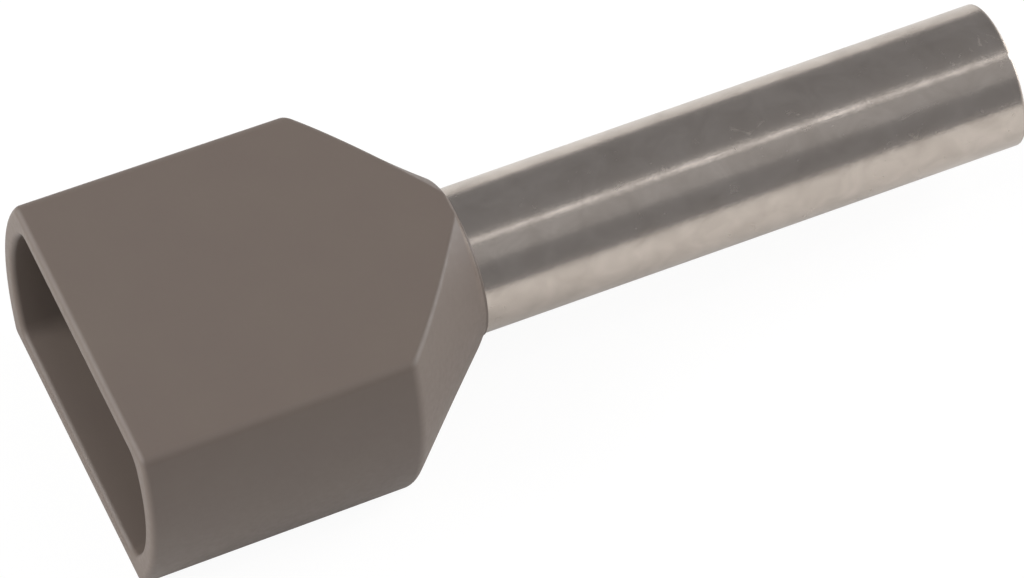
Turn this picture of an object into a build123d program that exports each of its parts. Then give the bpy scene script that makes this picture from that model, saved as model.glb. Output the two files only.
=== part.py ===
from build123d import *
import math
import os

# Twin-entry wire ferrule: a moulded insulating collar with a flat, open mouth for two
# insulated wires, and a plain tube that takes both bare conductors and is crimped.
# X runs along the tube, out of the collar. Y is across the two wires, Z is through them.
# The origin is on the tube's axis, in the plane of the collar's neck end. Sizes are mm.

# Sleeve
bore_radius = 1.45  # room for both stranded conductors
sleeve_wall = 0.20
sleeve_reach = 13.0  # bare sleeve outside the collar
bell_start = 0.1  # x where the wall starts to bend into the bell that the collar holds
bell_bend = 1.5
bell_angle = 40.0
cut_end_round = 0.05  # soft edges of the sheared end
nick_radius = 0.12  # small knock in the sheared end's outer edge
nick_depth = 0.07
nick_place = 68.0  # degrees round the tube from -Y towards +Z

# Collar, outside
collar_length = 8.95  # mouth rim to neck end
mouth_width = 8.4
mouth_height = 4.85
side_crown = 0.65  # the narrow sides bow out by this between the flat wide faces
long_edge_round = 0.28
side_draft = 0.06  # each narrow side draws in by this from the mouth to the shoulder
shoulder_length = 2.55  # slanted sides, from the straight part to the neck
shoulder_bend = 0.12  # reach of the soft bend each way from the shoulder
crown_growth = 1.5  # power of x by which the crown turns the shoulders into the round neck
nose_length = 0.12  # blunt round-off that ends the wide faces at the neck
nose_bend = 0.10
neck_lip = 0.06  # short round lip at the neck end
neck_wall = 0.05  # plastic left round the sleeve where the lip starts
lip_draft = 0.015  # the lip draws in by this to its end

# Collar, inside
collar_wall = 0.48
cavity_edge_round = 0.45
cavity_depth = 5.4  # straight part of the wire entry, before the funnel
throat_step = 0.04  # the funnel ends this far inside the bell's edge, so that no strand catches
rim_outer_round = 0.16
rim_inner_round = 0.14

# Worked out from the above
sleeve_radius = bore_radius + sleeve_wall
neck_radius = sleeve_radius + neck_wall
bell_centre = (bell_start, sleeve_radius + bell_bend)
half_width = mouth_width / 2
half_height = mouth_height / 2
shoulder_x = -neck_lip - shoulder_length
shoulder_half_width = half_width - side_draft
nose_x = -neck_lip - nose_length
nearly_round = 0.99  # crown share that leaves a sliver of flat on every section


def soft_bend(x, corner, slope_before, slope_after, reach):
    """Height at x of two straight lines that meet at a corner, joined by a parabola."""
    run = x - corner[0]
    if run <= -reach:
        return corner[1] + slope_before * run
    if run >= reach:
        return corner[1] + slope_after * run
    turn = slope_after - slope_before
    return corner[1] + slope_before * run + turn * (run + reach) ** 2 / (4 * reach)


def side_at(x):
    """Half the collar's width at x."""
    corner = (shoulder_x, shoulder_half_width)
    draw = -side_draft / (collar_length + shoulder_x)
    slant = -(shoulder_half_width - neck_radius) / shoulder_length
    return soft_bend(x, corner, draw, slant, shoulder_bend)


def face_at(x):
    """Half the collar's height at x."""
    slant = -(half_height - neck_radius) / nose_length
    return soft_bend(x, (nose_x, half_height), 0, slant, nose_bend)


def crown_at(x):
    """How far the narrow sides bow out at x: a little on the box, all the way at the neck."""
    share = max(0, (x - shoulder_x) / shoulder_length)
    crown = side_crown + (neck_radius - side_crown) * share**crown_growth
    return min(crown, nearly_round * side_at(x), nearly_round * face_at(x))


def section(x, half_y, half_z, crown, edge_round):
    """Across the collar at x: flat wide faces, crowned narrow sides, softened long edges."""
    bow = (half_z**2 + crown**2) / (2 * crown)  # radius of the crowned side
    bow_y = half_y - bow
    edge_z = half_z - edge_round
    edge_y = bow_y + math.sqrt((bow - edge_round) ** 2 - edge_z**2)
    turn = math.degrees(math.atan2(edge_z, edge_y - bow_y))
    right = Curve() + [
        CenterArc((edge_y, -edge_z), edge_round, -90, 90 - turn),
        CenterArc((bow_y, 0), bow, -turn, 2 * turn),
        CenterArc((edge_y, edge_z), edge_round, turn, 90 - turn),
    ]
    left = mirror(right, about=Plane.YZ)
    flats = [Line((-edge_y, z), (edge_y, z)) for z in (-half_z, half_z)]
    across = Plane(origin=(x, 0, 0), x_dir=(0, 1, 0), z_dir=(1, 0, 0))
    return across * make_face(right + left + flats)


def round_section(x, radius):
    """The same section with its crown grown until it is round, short of a sliver."""
    return section(x, radius, radius, nearly_round * radius, long_edge_round)


def form_between(start, stop, steps, ruled=False):
    """Stretch of the collar's outside, drawn through evenly spaced sections."""
    stations = [start + (stop - start) * i / steps for i in range(steps + 1)]
    sections = [section(x, side_at(x), face_at(x), crown_at(x), long_edge_round) for x in stations]
    return loft(sections, ruled)


def collar_outside():
    """Flat box, slanted shoulders, blunt nose and a short lip, as one form."""
    bend_start = shoulder_x - shoulder_bend
    bend_end = shoulder_x + shoulder_bend
    nose_start = nose_x - nose_bend
    box = form_between(-collar_length, bend_start, 1, ruled=True)
    bend = form_between(bend_start, bend_end, 4)
    shoulders = form_between(bend_end, nose_start, 8)
    nose = form_between(nose_start, -neck_lip, 6)
    lip_start = round_section(-neck_lip, neck_radius)
    lip_end = round_section(0, neck_radius - lip_draft)
    return box + bend + shoulders + nose + loft([lip_start, lip_end], ruled=True)


def bell_point(radius, angle):
    """Point (x, radius) on the bell's wall, at an angle round its bend."""
    turn = math.radians(angle)
    return (bell_centre[0] - radius * math.sin(turn), bell_centre[1] - radius * math.cos(turn))


def bell_arc(radius):
    """Arc of the bell's wall, from the straight tube to the bell's open end."""
    return ThreePointArc(*[bell_point(radius, share * bell_angle) for share in (0, 0.5, 1)])


outer_bell = bell_arc(bell_bend)
inner_bell = bell_arc(bell_bend + sleeve_wall)
bell_lip = Line(outer_bell @ 1, inner_bell @ 1)
throat_x, throat_radius = bell_point(bell_bend + sleeve_wall, bell_angle)


def turned(*lines):
    """Solid of revolution about X, from lines drawn as (x, radius)."""
    return revolve(make_face(Curve() + list(lines)), Axis.X, 360)


def conductor_sleeve():
    """Drawn tube with its inner end belled out and a nick in its sheared end."""
    tube = turned(
        outer_bell,
        bell_lip,
        inner_bell,
        Polyline(
            outer_bell @ 0,
            (sleeve_reach, sleeve_radius),
            (sleeve_reach, bore_radius),
            inner_bell @ 0,
        ),
    )
    sheared = tube.edges().filter_by(GeomType.CIRCLE).group_by(Axis.X)[-1]
    tube = fillet(sheared, cut_end_round)
    turn = math.radians(nick_place)
    reach = sleeve_radius + nick_radius - nick_depth
    nick = Pos(sleeve_reach, -reach * math.cos(turn), reach * math.sin(turn)) * Sphere(nick_radius)
    return tube - nick


def wire_entry():
    """Space inside the collar: flat cavity, then a funnel down to the bell's lip."""
    inner_y = half_width - collar_wall
    inner_z = half_height - collar_wall
    floor_x = -collar_length + cavity_depth
    draw = side_draft * cavity_depth / (collar_length + shoulder_x)
    mouth = section(-collar_length, inner_y, inner_z, side_crown, cavity_edge_round)
    floor = section(floor_x, inner_y - draw, inner_z, side_crown, cavity_edge_round)
    throat = round_section(throat_x, throat_radius - throat_step)
    return loft([mouth, floor], ruled=True) + loft([floor, throat], ruled=True)


def sleeve_seat():
    """Space that the sleeve's outside fills in the collar, bell included."""
    return turned(
        outer_bell,
        bell_lip,
        Polyline(outer_bell @ 0, (bell_start, 0), (throat_x, 0), inner_bell @ 1),
    )


def insulating_collar():
    """Moulded collar with its mouth rim rounded inside and out."""
    collar = collar_outside() - wire_entry() - sleeve_seat()
    rim = collar.faces().sort_by(Axis.X)[0]
    collar = fillet(rim.outer_wire().edges(), rim_outer_round)
    rim = collar.faces().filter_by(GeomType.PLANE).sort_by(Axis.X)[0]
    return fillet(rim.inner_wires()[0].edges(), rim_inner_round)


os.makedirs("parts", exist_ok=True)
export_step(conductor_sleeve(), "parts/conductor_sleeve.step")
export_step(insulating_collar(), "parts/insulating_collar.step")
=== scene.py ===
import bpy
import math
from mathutils import Matrix, Vector


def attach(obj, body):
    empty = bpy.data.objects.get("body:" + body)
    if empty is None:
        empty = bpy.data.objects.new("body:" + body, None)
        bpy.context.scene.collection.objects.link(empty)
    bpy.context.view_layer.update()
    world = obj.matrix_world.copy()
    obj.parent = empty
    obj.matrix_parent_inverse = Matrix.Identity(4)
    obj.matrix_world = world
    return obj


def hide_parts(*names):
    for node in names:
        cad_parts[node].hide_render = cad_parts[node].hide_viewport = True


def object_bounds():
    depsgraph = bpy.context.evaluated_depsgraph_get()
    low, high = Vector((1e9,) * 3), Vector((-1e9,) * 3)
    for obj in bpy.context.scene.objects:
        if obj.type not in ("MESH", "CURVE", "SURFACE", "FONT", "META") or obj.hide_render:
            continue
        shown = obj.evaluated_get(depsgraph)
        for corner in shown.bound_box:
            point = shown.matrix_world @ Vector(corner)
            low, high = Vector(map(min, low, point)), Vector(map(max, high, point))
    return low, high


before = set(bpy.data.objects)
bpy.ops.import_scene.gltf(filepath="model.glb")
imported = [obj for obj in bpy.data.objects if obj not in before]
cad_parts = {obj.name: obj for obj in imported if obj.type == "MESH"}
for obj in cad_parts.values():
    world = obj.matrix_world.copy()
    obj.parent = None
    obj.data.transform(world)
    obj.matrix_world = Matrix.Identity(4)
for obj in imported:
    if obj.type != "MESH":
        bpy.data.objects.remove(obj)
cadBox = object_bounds()
mm = 0.001
bpy.context.scene.view_settings.view_transform = "Standard"


def hexColour(code):  # sRGB hex to the linear values that Blender wants
    channels = [int(code[i:i + 2], 16) / 255 for i in (1, 3, 5)]
    return [c / 12.92 if c <= 0.04045 else ((c + 0.055) / 1.055) ** 2.4 for c in channels] + [1.0]


# adds one node, sets its properties, and links or sets its inputs
def addNode(tree, kind, inputs=None, **settings):
    node = tree.nodes.new(kind)
    for name, value in settings.items():
        setattr(node, name, value)
    for key, value in (inputs or {}).items():
        if isinstance(value, bpy.types.NodeSocket):
            tree.links.new(value, node.inputs[key])
        else:
            node.inputs[key].default_value = value
    return node


def between(start, stop, count):  # evenly spaced values, both ends included
    return [start + (stop - start) * i / count for i in range(count + 1)]


# camera, at the photograph's angle
cameraSettings = {
    "azimuth": -27.28,  # degrees, 0 looks along +Y
    "elevation": 56.37,
    "roll": 3.83,
    "aimAcross": 1.199,  # mm from the origin to the middle of the picture
    "aimUp": -0.571,
    "pixelsPerMm": 45.925,  # at the aim
    "distance": 198.2,  # mm
    "pictureWidth": 1024,  # pixels
    "sensor": 36,  # mm
    "clip": (0.005, 10),  # metres
}


def addCamera(s):
    a, e, roll = (math.radians(s[key]) for key in ("azimuth", "elevation", "roll"))
    back = Vector((math.sin(a) * math.cos(e), -math.cos(a) * math.cos(e), math.sin(e)))
    right = Vector((math.cos(a), math.sin(a), 0))
    up = back.cross(right)
    rolledRight = right * math.cos(roll) + up * math.sin(roll)
    rolledUp = up * math.cos(roll) - right * math.sin(roll)
    aim = (rolledRight * s["aimAcross"] + rolledUp * s["aimUp"]) * mm
    data = bpy.data.cameras.new("photoCamera")
    data.sensor_width = s["sensor"]
    data.lens = s["pixelsPerMm"] * s["distance"] * s["sensor"] / s["pictureWidth"]
    data.clip_start, data.clip_end = s["clip"]
    camera = bpy.data.objects.new("photoCamera", data)
    bpy.context.collection.objects.link(camera)
    turn = Matrix((rolledRight, rolledUp, back)).transposed().to_4x4()
    camera.matrix_world = Matrix.Translation(aim + back * s["distance"] * mm) @ turn
    bpy.context.scene.camera = camera


addCamera(cameraSettings)
print("camera set")


# Each piece is one closed outline of its wall, swept once round the tube's axis. Across the
# axis it is a circle, or has flat wide faces, crowned sides and softened long edges.
def sweptWallTree():
    tree = bpy.data.node_groups.new("sweptWall", "GeometryNodeTree")
    for name, kind in (("Geometry", "Geometry"), ("Points Round", "Int"), ("Nick Centre", "Vector"),
                       ("Nick Radius", "Float"), ("Nick Reach", "Float"), ("Material", "Material")):
        tree.interface.new_socket(name, in_out="INPUT", socket_type="NodeSocket" + kind)
    tree.interface.new_socket("Geometry", in_out="OUTPUT", socket_type="NodeSocketGeometry")
    given = addNode(tree, "NodeGroupInput").outputs

    # the ring that is swept, its points half a step off the axes and each with its angle
    ring = addNode(tree, "GeometryNodeCurvePrimitiveCircle", {"Resolution": given["Points Round"]})
    index = addNode(tree, "GeometryNodeInputIndex")
    middle = addNode(tree, "ShaderNodeMath", {0: index.outputs[0], 1: 0.5}, operation="ADD")
    share = addNode(tree, "ShaderNodeMath", {0: middle.outputs[0], 1: given["Points Round"]},
                    operation="DIVIDE")
    angle = addNode(tree, "ShaderNodeMath", {0: share.outputs[0], 1: 2 * math.pi},
                    operation="MULTIPLY")
    ring = addNode(tree, "GeometryNodeStoreNamedAttribute",
                   {"Geometry": ring.outputs["Curve"], "Name": "angle", "Value": angle.outputs[0]},
                   domain="POINT")
    rail = addNode(tree, "GeometryNodeMeshToCurve", {"Mesh": given["Geometry"]})
    skin = addNode(tree, "GeometryNodeCurveToMesh",
                   {"Curve": rail.outputs["Curve"], "Profile Curve": ring.outputs["Geometry"]})

    # which arc a point is on: the crowned side, or past its meeting the long edge
    angle = addNode(tree, "GeometryNodeInputNamedAttribute", {"Name": "angle"}, data_type="FLOAT")
    cosine = addNode(tree, "ShaderNodeMath", {0: angle.outputs["Attribute"]}, operation="COSINE")
    sine = addNode(tree, "ShaderNodeMath", {0: angle.outputs["Attribute"]}, operation="SINE")
    wave = addNode(tree, "ShaderNodeCombineXYZ", {"Y": cosine.outputs[0], "Z": sine.outputs[0]})
    size = addNode(tree, "ShaderNodeVectorMath", {0: wave.outputs[0]}, operation="ABSOLUTE")
    way = addNode(tree, "ShaderNodeVectorMath", {0: wave.outputs[0]}, operation="SIGN")
    height = addNode(tree, "ShaderNodeSeparateXYZ", {0: size.outputs[0]})
    meeting = addNode(tree, "GeometryNodeInputNamedAttribute", {"Name": "meeting"},
                      data_type="FLOAT")
    onSide = addNode(tree, "ShaderNodeMath",
                     {0: height.outputs["Z"], 1: meeting.outputs["Attribute"]},
                     operation="LESS_THAN")
    sideArc = addNode(tree, "GeometryNodeInputNamedAttribute", {"Name": "sideArc"},
                      data_type="FLOAT_VECTOR")
    edgeArc = addNode(tree, "GeometryNodeInputNamedAttribute", {"Name": "edgeArc"},
                      data_type="FLOAT_VECTOR")
    arc = addNode(tree, "GeometryNodeSwitch",
                  {"Switch": onSide.outputs[0], "False": edgeArc.outputs["Attribute"],
                   "True": sideArc.outputs["Attribute"]}, input_type="VECTOR")

    # an arc is stored as (radius, centre across, centre up); its quarter is mirrored to all four
    radius = addNode(tree, "ShaderNodeSeparateXYZ", {0: arc.outputs[0]})
    centre = addNode(tree, "ShaderNodeVectorMath", {0: arc.outputs[0], 1: (0, 1, 1)},
                     operation="MULTIPLY")
    quarter = addNode(tree, "ShaderNodeVectorMath",
                      {0: size.outputs[0], 1: radius.outputs["X"], 2: centre.outputs[0]},
                      operation="MULTIPLY_ADD")
    around = addNode(tree, "ShaderNodeVectorMath", {0: quarter.outputs[0], 1: way.outputs[0]},
                     operation="MULTIPLY")
    along = addNode(tree, "GeometryNodeInputNamedAttribute", {"Name": "along"}, data_type="FLOAT")
    along = addNode(tree, "ShaderNodeCombineXYZ", {"X": along.outputs["Attribute"]})
    place = addNode(tree, "ShaderNodeVectorMath", {0: around.outputs[0], 1: along.outputs[0]},
                    operation="ADD")
    skin = addNode(tree, "GeometryNodeSetPosition",
                   {"Geometry": skin.outputs[0], "Position": place.outputs[0]})

    # the nick: points close to a line through the wall are pushed clear of it
    here = addNode(tree, "GeometryNodeInputPosition")
    away = addNode(tree, "ShaderNodeVectorMath", {0: here.outputs[0], 1: given["Nick Centre"]},
                   operation="SUBTRACT")
    inward = addNode(tree, "ShaderNodeVectorMath", {0: given["Nick Centre"], 1: (0, 1, 1)},
                     operation="MULTIPLY")
    through = addNode(tree, "ShaderNodeVectorMath", {0: away.outputs[0], 1: inward.outputs[0]},
                      operation="PROJECT")
    across = addNode(tree, "ShaderNodeVectorMath", {0: away.outputs[0], 1: through.outputs[0]},
                     operation="SUBTRACT")
    width = addNode(tree, "ShaderNodeVectorMath", {0: across.outputs[0]}, operation="LENGTH")
    deep = addNode(tree, "ShaderNodeMath", {0: given["Nick Radius"], 1: width.outputs["Value"]},
                   operation="SUBTRACT", use_clamp=True)
    far = addNode(tree, "ShaderNodeVectorMath", {0: away.outputs[0]}, operation="LENGTH")
    near = addNode(tree, "ShaderNodeMath", {0: far.outputs["Value"], 1: given["Nick Reach"]},
                   operation="LESS_THAN")
    deep = addNode(tree, "ShaderNodeMath", {0: deep.outputs[0], 1: near.outputs[0]},
                   operation="MULTIPLY")
    outward = addNode(tree, "ShaderNodeVectorMath", {0: across.outputs[0]}, operation="NORMALIZE")
    push = addNode(tree, "ShaderNodeVectorMath", {0: outward.outputs[0], "Scale": deep.outputs[0]},
                   operation="SCALE")
    skin = addNode(tree, "GeometryNodeSetPosition",
                   {"Geometry": skin.outputs[0], "Offset": push.outputs[0]})
    skin = addNode(tree, "GeometryNodeSetShadeSmooth", {"Geometry": skin.outputs[0]})
    skin = addNode(tree, "GeometryNodeRealizeInstances", {"Geometry": skin.outputs[0]})
    skin = addNode(tree, "GeometryNodeSetMaterial",
                   {"Geometry": skin.outputs[0], "Material": given["Material"]})
    addNode(tree, "NodeGroupOutput", {"Geometry": skin.outputs[0]})
    return tree


sweptWall = sweptWallTree()


# an outline point is (x, half width, half height, bow of the sides, round of the long edges), mm
def sectionArcs(point):
    halfY, halfZ, bow, edge = point[1:]
    bowY = halfY - bow
    edgeZ = halfZ - edge
    edgeY = bowY + math.sqrt(max(0.0, (bow - edge) ** 2 - edgeZ ** 2))
    return (bow, bowY, 0.0), (edge, edgeY, edgeZ), edgeZ / (bow - edge)


def roundAt(x, radius, edge=0.0):  # outline point whose section is a circle
    return (x, radius, radius, radius, edge)


def sweepOutline(name, outline, given):
    rail = bpy.data.meshes.new(name + "Rail")
    count = len(outline)
    rail.from_pydata([(point[0] * mm, 0, point[2] * mm) for point in outline],
                     [(i, (i + 1) % count) for i in range(count)], [])
    arcs = [sectionArcs(point) for point in outline]
    attributes = {
        "along": ("FLOAT", "value", [point[0] * mm for point in outline]),
        "meeting": ("FLOAT", "value", [arc[2] for arc in arcs]),
        "sideArc": ("FLOAT_VECTOR", "vector", [v * mm for arc in arcs for v in arc[0]]),
        "edgeArc": ("FLOAT_VECTOR", "vector", [v * mm for arc in arcs for v in arc[1]]),
    }
    for label, (kind, key, values) in attributes.items():
        rail.attributes.new(label, kind, "POINT").data.foreach_set(key, values)
    work = bpy.data.objects.new(name + "Work", rail)
    bpy.context.collection.objects.link(work)
    sweep = work.modifiers.new("sweep", "NODES")
    sweep.node_group = sweptWall
    for item in sweptWall.interface.items_tree:
        if item.in_out == "INPUT" and item.name in given:
            sweep[item.identifier] = given[item.name]
    seen = work.evaluated_get(bpy.context.evaluated_depsgraph_get())
    mesh = bpy.data.meshes.new_from_object(seen)
    work.modifiers.remove(sweep)
    bpy.data.objects.remove(work)
    # the signed volume says whether the faces look outwards
    volume = sum(mesh.vertices[t.vertices[0]].co.dot(
        mesh.vertices[t.vertices[1]].co.cross(mesh.vertices[t.vertices[2]].co))
        for t in mesh.loop_triangles)
    if volume < 0:
        mesh.flip_normals()
    for label in (*attributes, "angle"):
        if label in mesh.attributes:
            mesh.attributes.remove(mesh.attributes[label])
    piece = bpy.data.objects.new(name, mesh)
    bpy.context.collection.objects.link(piece)
    print(name, len(mesh.vertices), "points")
    return piece


# tube, with the CAD model's sizes in mm, and how many steps its outline takes
tube = {
    "boreRadius": 1.45, "wall": 0.20, "reach": 13.0, "cutRound": 0.05,
    "bellStart": 0.1, "bellBend": 1.5, "bellAngle": 40.0,  # degrees
    "nickRadius": 0.12, "nickDepth": 0.07, "nickPlace": 68.0,  # degrees from -Y towards +Z
    "nickReach": 4.0,  # nick radii, so that the far wall has none
    "nickZone": 0.3,  # mm of closer points at the cut end
    "pointsRound": 384, "bellSteps": 10, "bodySteps": 60, "zoneSteps": 14,
    "cutSteps": 6, "endSteps": 5, "boreSteps": 24,
}


def bellPoint(radius, turn):  # (x, radius) on the wall of the belled inner end
    turn = math.radians(turn)
    centre = tube["boreRadius"] + tube["wall"] + tube["bellBend"]
    return tube["bellStart"] - radius * math.sin(turn), centre - radius * math.cos(turn)


def tubeOutline():
    t = tube
    outer, inner, cut = t["boreRadius"] + t["wall"], t["boreRadius"], t["cutRound"]
    roundX, zoneX = t["reach"] - cut, t["reach"] - t["nickZone"]
    quarterTurn = between(0, math.pi / 2, t["cutSteps"])
    points = [bellPoint(t["bellBend"], turn) for turn in between(t["bellAngle"], 0, t["bellSteps"])]
    points += [(x, outer) for x in between(t["bellStart"], zoneX, t["bodySteps"])[1:]]
    points += [(x, outer) for x in between(zoneX, roundX, t["zoneSteps"])[1:-1]]
    for turn in quarterTurn:
        points.append((roundX + cut * math.sin(turn), outer - cut + cut * math.cos(turn)))
    points += [(t["reach"], radius)
               for radius in between(outer - cut, inner + cut, t["endSteps"])[1:-1]]
    for turn in quarterTurn:
        points.append((roundX + cut * math.cos(turn), inner + cut - cut * math.sin(turn)))
    points += [(x, inner) for x in between(roundX, t["bellStart"], t["boreSteps"])[1:-1]]
    points += [bellPoint(t["bellBend"] + t["wall"], turn)
               for turn in between(0, t["bellAngle"], t["bellSteps"])]
    return [roundAt(x, radius) for x, radius in points]


def nickCentre():  # just past the cut end, in the middle of the wall
    turn = math.radians(tube["nickPlace"])
    middle = tube["boreRadius"] + tube["wall"] / 2
    x = tube["reach"] + tube["nickRadius"] - tube["nickDepth"]
    return [v * mm for v in (x, -middle * math.cos(turn), middle * math.sin(turn))]


# collar, with the CAD model's sizes in mm, and how many steps its outline takes
collar = {
    "length": 8.95, "mouthWidth": 8.4, "mouthHeight": 4.85, "sideCrown": 0.65,
    "longEdgeRound": 0.28, "sideDraft": 0.06,
    "shoulderLength": 2.55, "shoulderBend": 0.12, "crownGrowth": 1.5,
    "noseLength": 0.12, "noseBend": 0.10,
    "lipLength": 0.06, "neckRadius": 1.70, "lipDraft": 0.015,
    "wall": 0.48, "cavityEdgeRound": 0.45, "cavityDepth": 5.4, "throatStep": 0.04,
    "rimOuterRound": 0.16, "rimInnerRound": 0.14,
    "tubeGap": 0.004,  # keeps the lip's end clear of the tube
    "nearlyRound": 0.99,  # the crown's largest share of the section
    "pointsRound": 256, "rimInnerSteps": 8, "rimOuterSteps": 10, "bellSteps": 10,
    "outsideSteps": (12, 12, 30, 24),  # box, bend, shoulders and nose
    "funnelSteps": 12, "cavitySteps": 12,
}
shoulderX = -collar["lipLength"] - collar["shoulderLength"]
noseX = -collar["lipLength"] - collar["noseLength"]
shoulderHalf = collar["mouthWidth"] / 2 - collar["sideDraft"]


def softBend(x, corner, before, after, reach):  # two straight lines joined by a parabola
    run = x - corner[0]
    if run <= -reach:
        return corner[1] + before * run
    if run >= reach:
        return corner[1] + after * run
    return corner[1] + before * run + (after - before) * (run + reach) ** 2 / (4 * reach)


def sideAt(x):  # half the width
    slant = -(shoulderHalf - collar["neckRadius"]) / collar["shoulderLength"]
    draw = -collar["sideDraft"] / (collar["length"] + shoulderX)
    return softBend(x, (shoulderX, shoulderHalf), draw, slant, collar["shoulderBend"])


def faceAt(x):  # half the height
    half = collar["mouthHeight"] / 2
    slant = -(half - collar["neckRadius"]) / collar["noseLength"]
    return softBend(x, (noseX, half), 0, slant, collar["noseBend"])


def bowFrom(half, crown):  # radius of a crowned side from its half height and its crown
    return (half ** 2 + crown ** 2) / (2 * crown)


def outsideAt(x, inset=0.0):
    c = collar
    share = max(0.0, (x - shoulderX) / c["shoulderLength"])
    crown = c["sideCrown"] + (c["neckRadius"] - c["sideCrown"]) * share ** c["crownGrowth"]
    crown = min(crown, c["nearlyRound"] * sideAt(x), c["nearlyRound"] * faceAt(x))
    return (x, sideAt(x) - inset, faceAt(x) - inset, bowFrom(faceAt(x), crown) - inset,
            c["longEdgeRound"] - inset)


def collarOutline():
    c = collar
    mouthX = -c["length"]
    floorX = mouthX + c["cavityDepth"]
    draw = c["sideDraft"] * c["cavityDepth"] / (c["length"] + shoulderX)
    innerY = c["mouthWidth"] / 2 - c["wall"]
    innerZ = c["mouthHeight"] / 2 - c["wall"]
    innerBow = bowFrom(innerZ, c["sideCrown"])
    innerEdge = c["cavityEdgeRound"]
    points = []
    # round the rim, from the inside to the outside
    for turn in between(0, math.pi / 2, c["rimInnerSteps"]):
        x = mouthX + c["rimInnerRound"] * (1 - math.sin(turn))
        gap = c["rimInnerRound"] * (1 - math.cos(turn))
        points.append((x, innerY + gap, innerZ + gap, innerBow + gap, innerEdge + gap))
    for turn in between(0, math.pi / 2, c["rimOuterSteps"]):
        points.append(outsideAt(mouthX + c["rimOuterRound"] * (1 - math.cos(turn)),
                                c["rimOuterRound"] * (1 - math.sin(turn))))
    # the box, the bend, the shoulders, the nose and the lip
    stops = (mouthX + c["rimOuterRound"], shoulderX - c["shoulderBend"],
             shoulderX + c["shoulderBend"], noseX - c["noseBend"], -c["lipLength"])
    for start, stop, steps in zip(stops, stops[1:], c["outsideSteps"]):
        points += [outsideAt(x) for x in between(start, stop, steps)[1:]]
    lipEnd = c["neckRadius"] - c["lipDraft"]
    points += [roundAt(-c["lipLength"] / 2, (c["neckRadius"] + lipEnd) / 2), roundAt(0, lipEnd)]
    # back along the tube and over its bell
    points.append(roundAt(0, tube["boreRadius"] + tube["wall"] + c["tubeGap"]))
    for turn in between(0, tube["bellAngle"], c["bellSteps"]):
        x, radius = bellPoint(tube["bellBend"], turn)
        if x < 0:
            points.append(roundAt(x, radius))
    # over the bell's open end, then down the funnel and the cavity to the mouth
    throatX, throat = bellPoint(tube["bellBend"] + tube["wall"], tube["bellAngle"])
    funnelStart = roundAt(throatX, throat - c["throatStep"], c["longEdgeRound"])
    funnelEnd = (floorX, innerY - draw, innerZ, innerBow, innerEdge)
    for share in between(0, 1, c["funnelSteps"]):
        points.append(tuple(a + (b - a) * share for a, b in zip(funnelStart, funnelEnd)))
    for share in between(0, 1, c["cavitySteps"])[1:-1]:
        x = floorX + (mouthX + c["rimInnerRound"] - floorX) * share
        points.append((x, innerY - draw * (1 - share), innerZ, innerBow, innerEdge))
    return points


# In the materials, a Mix node's inputs 6 and 7 are its two colours, and its output 2 is their mix.
noiseLow, noiseHigh = 0.3, 0.7  # nearly all of a noise's values lie between these


# moulded polypropylene with a satin mould finish: even warm grey, soft broad gloss, fine grain
def mouldedPolypropylene():
    look = {
        "colour": "#6C6059", "paler": "#70655C", "roughness": 0.50, "roughnessSpread": 0.04,
        "ior": 1.49, "grainStrength": 0.08, "cloudDetail": 2.0, "grainDetail": 3.0,
        "cloud": 1.6, "grain": 0.16,  # mm, the grain is drawn coarser than the real 0.03 to show
        "grainHeight": 0.02,  # mm
    }
    material = bpy.data.materials.new("mouldedPolypropyleneGrey")
    material.use_nodes = True
    tree = material.node_tree
    tree.nodes.clear()
    place = addNode(tree, "ShaderNodeTexCoord").outputs["Object"]
    clouds = addNode(tree, "ShaderNodeTexNoise", {
        "Vector": place, "Scale": 1 / (look["cloud"] * mm), "Detail": look["cloudDetail"]})
    grain = addNode(tree, "ShaderNodeTexNoise", {
        "Vector": place, "Scale": 1 / (look["grain"] * mm), "Detail": look["grainDetail"]})
    colour = addNode(tree, "ShaderNodeMix", {
        "Factor": clouds.outputs["Fac"], 6: hexColour(look["colour"]),
        7: hexColour(look["paler"])}, data_type="RGBA")
    rough = addNode(tree, "ShaderNodeMapRange", {
        "Value": grain.outputs["Fac"], "From Min": noiseLow, "From Max": noiseHigh,
        "To Min": look["roughness"] - look["roughnessSpread"],
        "To Max": look["roughness"] + look["roughnessSpread"]})
    bump = addNode(tree, "ShaderNodeBump", {
        "Height": grain.outputs["Fac"], "Strength": look["grainStrength"],
        "Distance": look["grainHeight"] * mm})
    shader = addNode(tree, "ShaderNodeBsdfPrincipled", {
        "Base Color": colour.outputs[2], "Roughness": rough.outputs[0], "IOR": look["ior"],
        "Normal": bump.outputs[0]})
    addNode(tree, "ShaderNodeOutputMaterial", {"Surface": shader.outputs[0]})
    return material


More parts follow.
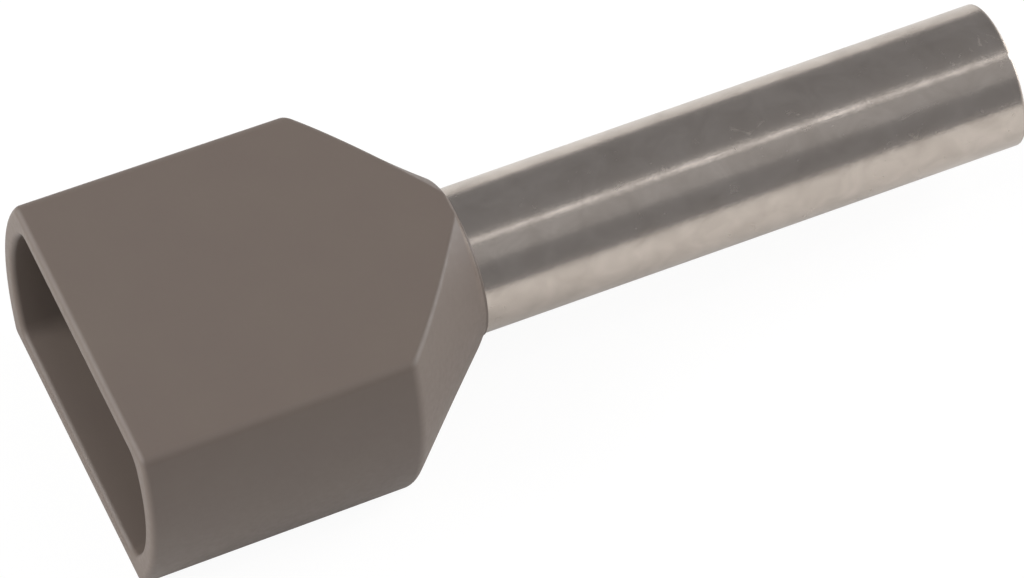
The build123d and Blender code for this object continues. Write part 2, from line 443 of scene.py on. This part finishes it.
# copper tube with electroplated tin: silvery and slightly warm, drawn lengthwise, unevenly
# plated so that the reflections waver, with cloudy patches and small scuffs from bulk packing
def tinPlatedCopper():
    look = {
        "colour": "#CCC2B9", "shade": "#BAB0A7", "roughness": 0.20,
        "patchDuller": 0.06, "scuffDuller": 0.16, "cutDuller": 0.3,  # added roughness
        "drawLine": 0.10, "ripple": 0.24, "cloud": 0.8, "scuff": 0.55,  # mm
        "drawStretch": 0.03,  # of the pattern's scale, along the tube
        "rippleHeight": 0.0036, "lineHeight": 0.0014,  # mm
        "scuffFrom": 0.64, "scuffTo": 0.74,  # noise values where a scuff starts and is full
        "handledFrom": 3, "handledTo": 11,  # mm along, more scuffs towards the open end
        "handledLeast": 0.35,  # share of the scuffs near the collar
        "cutFrom": 12.92, "cutTo": 12.97,  # mm along, the dull sheared end
    }
    material = bpy.data.materials.new("tinPlatedDrawnCopper")
    material.use_nodes = True
    tree = material.node_tree
    tree.nodes.clear()
    place = addNode(tree, "ShaderNodeTexCoord").outputs["Object"]
    stretched = addNode(tree, "ShaderNodeMapping", {
        "Vector": place, "Scale": (look["drawStretch"], 1.0, 1.0)})
    lines = addNode(tree, "ShaderNodeTexNoise", {
        "Vector": stretched.outputs[0], "Scale": 1 / (look["drawLine"] * mm),
        "Detail": 4.0, "Roughness": 0.6})
    ripple = addNode(tree, "ShaderNodeTexNoise", {
        "Vector": place, "Scale": 1 / (look["ripple"] * mm), "Detail": 3.0, "Roughness": 0.55})
    clouds = addNode(tree, "ShaderNodeTexNoise", {
        "Vector": place, "Scale": 1 / (look["cloud"] * mm), "Detail": 4.0, "Distortion": 0.6})
    patches = addNode(tree, "ShaderNodeMapRange", {
        "Value": clouds.outputs["Fac"], "From Min": noiseLow, "From Max": noiseHigh})
    scratches = addNode(tree, "ShaderNodeTexNoise", {
        "Vector": place, "Scale": 1 / (look["scuff"] * mm), "Detail": 5.0, "Distortion": 2.0})
    scuffs = addNode(tree, "ShaderNodeMapRange", {
        "Value": scratches.outputs["Fac"], "From Min": look["scuffFrom"],
        "From Max": look["scuffTo"], "To Max": look["scuffDuller"]})
    along = addNode(tree, "ShaderNodeSeparateXYZ", {0: place})
    handled = addNode(tree, "ShaderNodeMapRange", {
        "Value": along.outputs["X"], "From Min": look["handledFrom"] * mm,
        "From Max": look["handledTo"] * mm, "To Min": look["handledLeast"]})
    scuffs = addNode(tree, "ShaderNodeMath", {0: scuffs.outputs[0], 1: handled.outputs[0]},
                     operation="MULTIPLY")
    sheared = addNode(tree, "ShaderNodeMapRange", {
        "Value": along.outputs["X"], "From Min": look["cutFrom"] * mm,
        "From Max": look["cutTo"] * mm, "To Max": look["cutDuller"]})
    colour = addNode(tree, "ShaderNodeMix", {
        "Factor": patches.outputs[0], 6: hexColour(look["colour"]),
        7: hexColour(look["shade"])}, data_type="RGBA")
    rough = addNode(tree, "ShaderNodeMath", {
        0: patches.outputs[0], 1: look["patchDuller"], 2: look["roughness"]},
        operation="MULTIPLY_ADD")
    rough = addNode(tree, "ShaderNodeMath", {0: rough.outputs[0], 1: scuffs.outputs[0]},
                    operation="ADD")
    rough = addNode(tree, "ShaderNodeMath", {0: rough.outputs[0], 1: sheared.outputs[0]},
                    operation="ADD")
    wavered = addNode(tree, "ShaderNodeBump", {
        "Height": ripple.outputs["Fac"], "Strength": 1.0, "Distance": look["rippleHeight"] * mm})
    drawn = addNode(tree, "ShaderNodeBump", {
        "Height": lines.outputs["Fac"], "Strength": 1.0, "Distance": look["lineHeight"] * mm,
        "Normal": wavered.outputs[0]})
    shader = addNode(tree, "ShaderNodeBsdfPrincipled", {
        "Base Color": colour.outputs[2], "Metallic": 1.0, "Roughness": rough.outputs[0],
        "Normal": drawn.outputs[0]})
    addNode(tree, "ShaderNodeOutputMaterial", {"Surface": shader.outputs[0]})
    return material


collarPlastic = mouldedPolypropylene()
tinnedCopper = tinPlatedCopper()
print("materials made")

collarPiece = sweepOutline("mouldedCollar", collarOutline(), {
    "Points Round": collar["pointsRound"], "Material": collarPlastic})
tubePiece = sweepOutline("tinnedTube", tubeOutline(), {
    "Points Round": tube["pointsRound"], "Material": tinnedCopper, "Nick Centre": nickCentre(),
    "Nick Radius": tube["nickRadius"] * mm,
    "Nick Reach": tube["nickRadius"] * tube["nickReach"] * mm})
for piece, node, slotName in ((collarPiece, "insulating_collar", "collar_plastic"),
                              (tubePiece, "conductor_sleeve", "tinned_copper")):
    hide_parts(node)
    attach(piece, "root")
print("pieces made")

# floor and room
studio = {
    "floorSize": 1.2,  # metres
    "clearance": 0.004,  # mm under the collar's flat underside
    "floorColour": "#F4F2EF",
    "shadowShare": 0.10,  # share of lit matt floor, which carries the shadow
    "white": "#FFFFFF", "whiteStrength": 1.04,  # with the matt share, a plain white of 1
    "mirrorShare": 0.20,  # share of plain white in the floor that the tube mirrors
    "roomGrey": "#8F9093",  # the room, which the tube mirrors as its dark bands
}


# matt white studio sweep: an even white that nothing but the object's shadow marks
def paleFloor(s):
    lowest = cadBox[0][2] - s["clearance"] * mm
    half = s["floorSize"] / 2
    corners = [(-half, -half), (half, -half), (half, half), (-half, half)]
    mesh = bpy.data.meshes.new("paleFloor")
    mesh.from_pydata([(x, y, lowest) for x, y in corners], [], [(0, 1, 2, 3)])
    floor = bpy.data.objects.new("paleFloor", mesh)
    bpy.context.collection.objects.link(floor)
    material = bpy.data.materials.new("matWhiteSweep")
    material.use_nodes = True
    tree = material.node_tree
    tree.nodes.clear()
    matt = addNode(tree, "ShaderNodeBsdfDiffuse", {"Color": hexColour(s["floorColour"])})
    white = addNode(tree, "ShaderNodeEmission", {
        "Color": hexColour(s["white"]), "Strength": s["whiteStrength"]})
    path = addNode(tree, "ShaderNodeLightPath").outputs
    seen = addNode(tree, "ShaderNodeMath", {
        0: path["Is Camera Ray"], 1: path["Is Transmission Ray"]}, operation="MAXIMUM")
    seen = addNode(tree, "ShaderNodeMath", {0: seen.outputs[0], 1: 1 - s["shadowShare"]},
                   operation="MULTIPLY")
    share = addNode(tree, "ShaderNodeMath", {
        0: path["Is Glossy Ray"], 1: s["mirrorShare"], 2: seen.outputs[0]},
        operation="MULTIPLY_ADD")
    mixed = addNode(tree, "ShaderNodeMixShader", {
        0: share.outputs[0], 1: matt.outputs[0], 2: white.outputs[0]})
    below = addNode(tree, "ShaderNodeNewGeometry").outputs["Backfacing"]  # clear from below
    clear = addNode(tree, "ShaderNodeBsdfTransparent")
    mixed = addNode(tree, "ShaderNodeMixShader", {
        0: below, 1: mixed.outputs[0], 2: clear.outputs[0]})
    addNode(tree, "ShaderNodeOutputMaterial", {"Surface": mixed.outputs[0]})
    mesh.materials.append(material)


def studioRoom(s):
    world = bpy.data.worlds.new("studioRoom")
    bpy.context.scene.world = world
    world.use_nodes = True
    tree = world.node_tree
    tree.nodes.clear()
    room = addNode(tree, "ShaderNodeBackground", {
        "Color": hexColour(s["roomGrey"]), "Strength": 1.0})
    addNode(tree, "ShaderNodeOutputWorld", {"Surface": room.outputs[0]})


# each lamp's way from the object, its width and height in metres, and its watts
lampDistance = 0.40  # metres
lamps = {
    "overheadStrip": {"towards": (0.254, -0.137, 0.957), "size": (0.50, 0.030), "power": 0.085},
    "widePanel": {"towards": (0.254, -0.492, 0.833), "size": (0.50, 0.19), "power": 0.055},
    "rightKey": {"towards": (0.97, 0.00, 0.24), "size": (0.26, 0.42), "power": 1.90},
    "leftFill": {"towards": (-0.85, -0.05, 0.50), "size": (0.30, 0.36), "power": 0.28},
    "leftBack": {"towards": (-0.82, 0.32, 0.47), "size": (0.36, 0.36), "power": 1.50},
}


def addLamp(name, lamp):
    data = bpy.data.lights.new(name, "AREA")
    data.shape = "RECTANGLE"
    data.size, data.size_y = lamp["size"]
    data.energy = lamp["power"]
    back = Vector(lamp["towards"]).normalized()
    axis = Vector((0, 1, 0)) if back.z > abs(back.x) else Vector((0, 0, 1))
    right = axis.cross(back).normalized()  # along X for a lamp overhead, level for one at a side
    turn = Matrix((right, back.cross(right), back)).transposed().to_4x4()
    light = bpy.data.objects.new(name, data)
    bpy.context.collection.objects.link(light)
    light.matrix_world = Matrix.Translation(back * lampDistance) @ turn


paleFloor(studio)
studioRoom(studio)
for lampName, lamp in lamps.items():
    addLamp(lampName, lamp)
print("studio set")
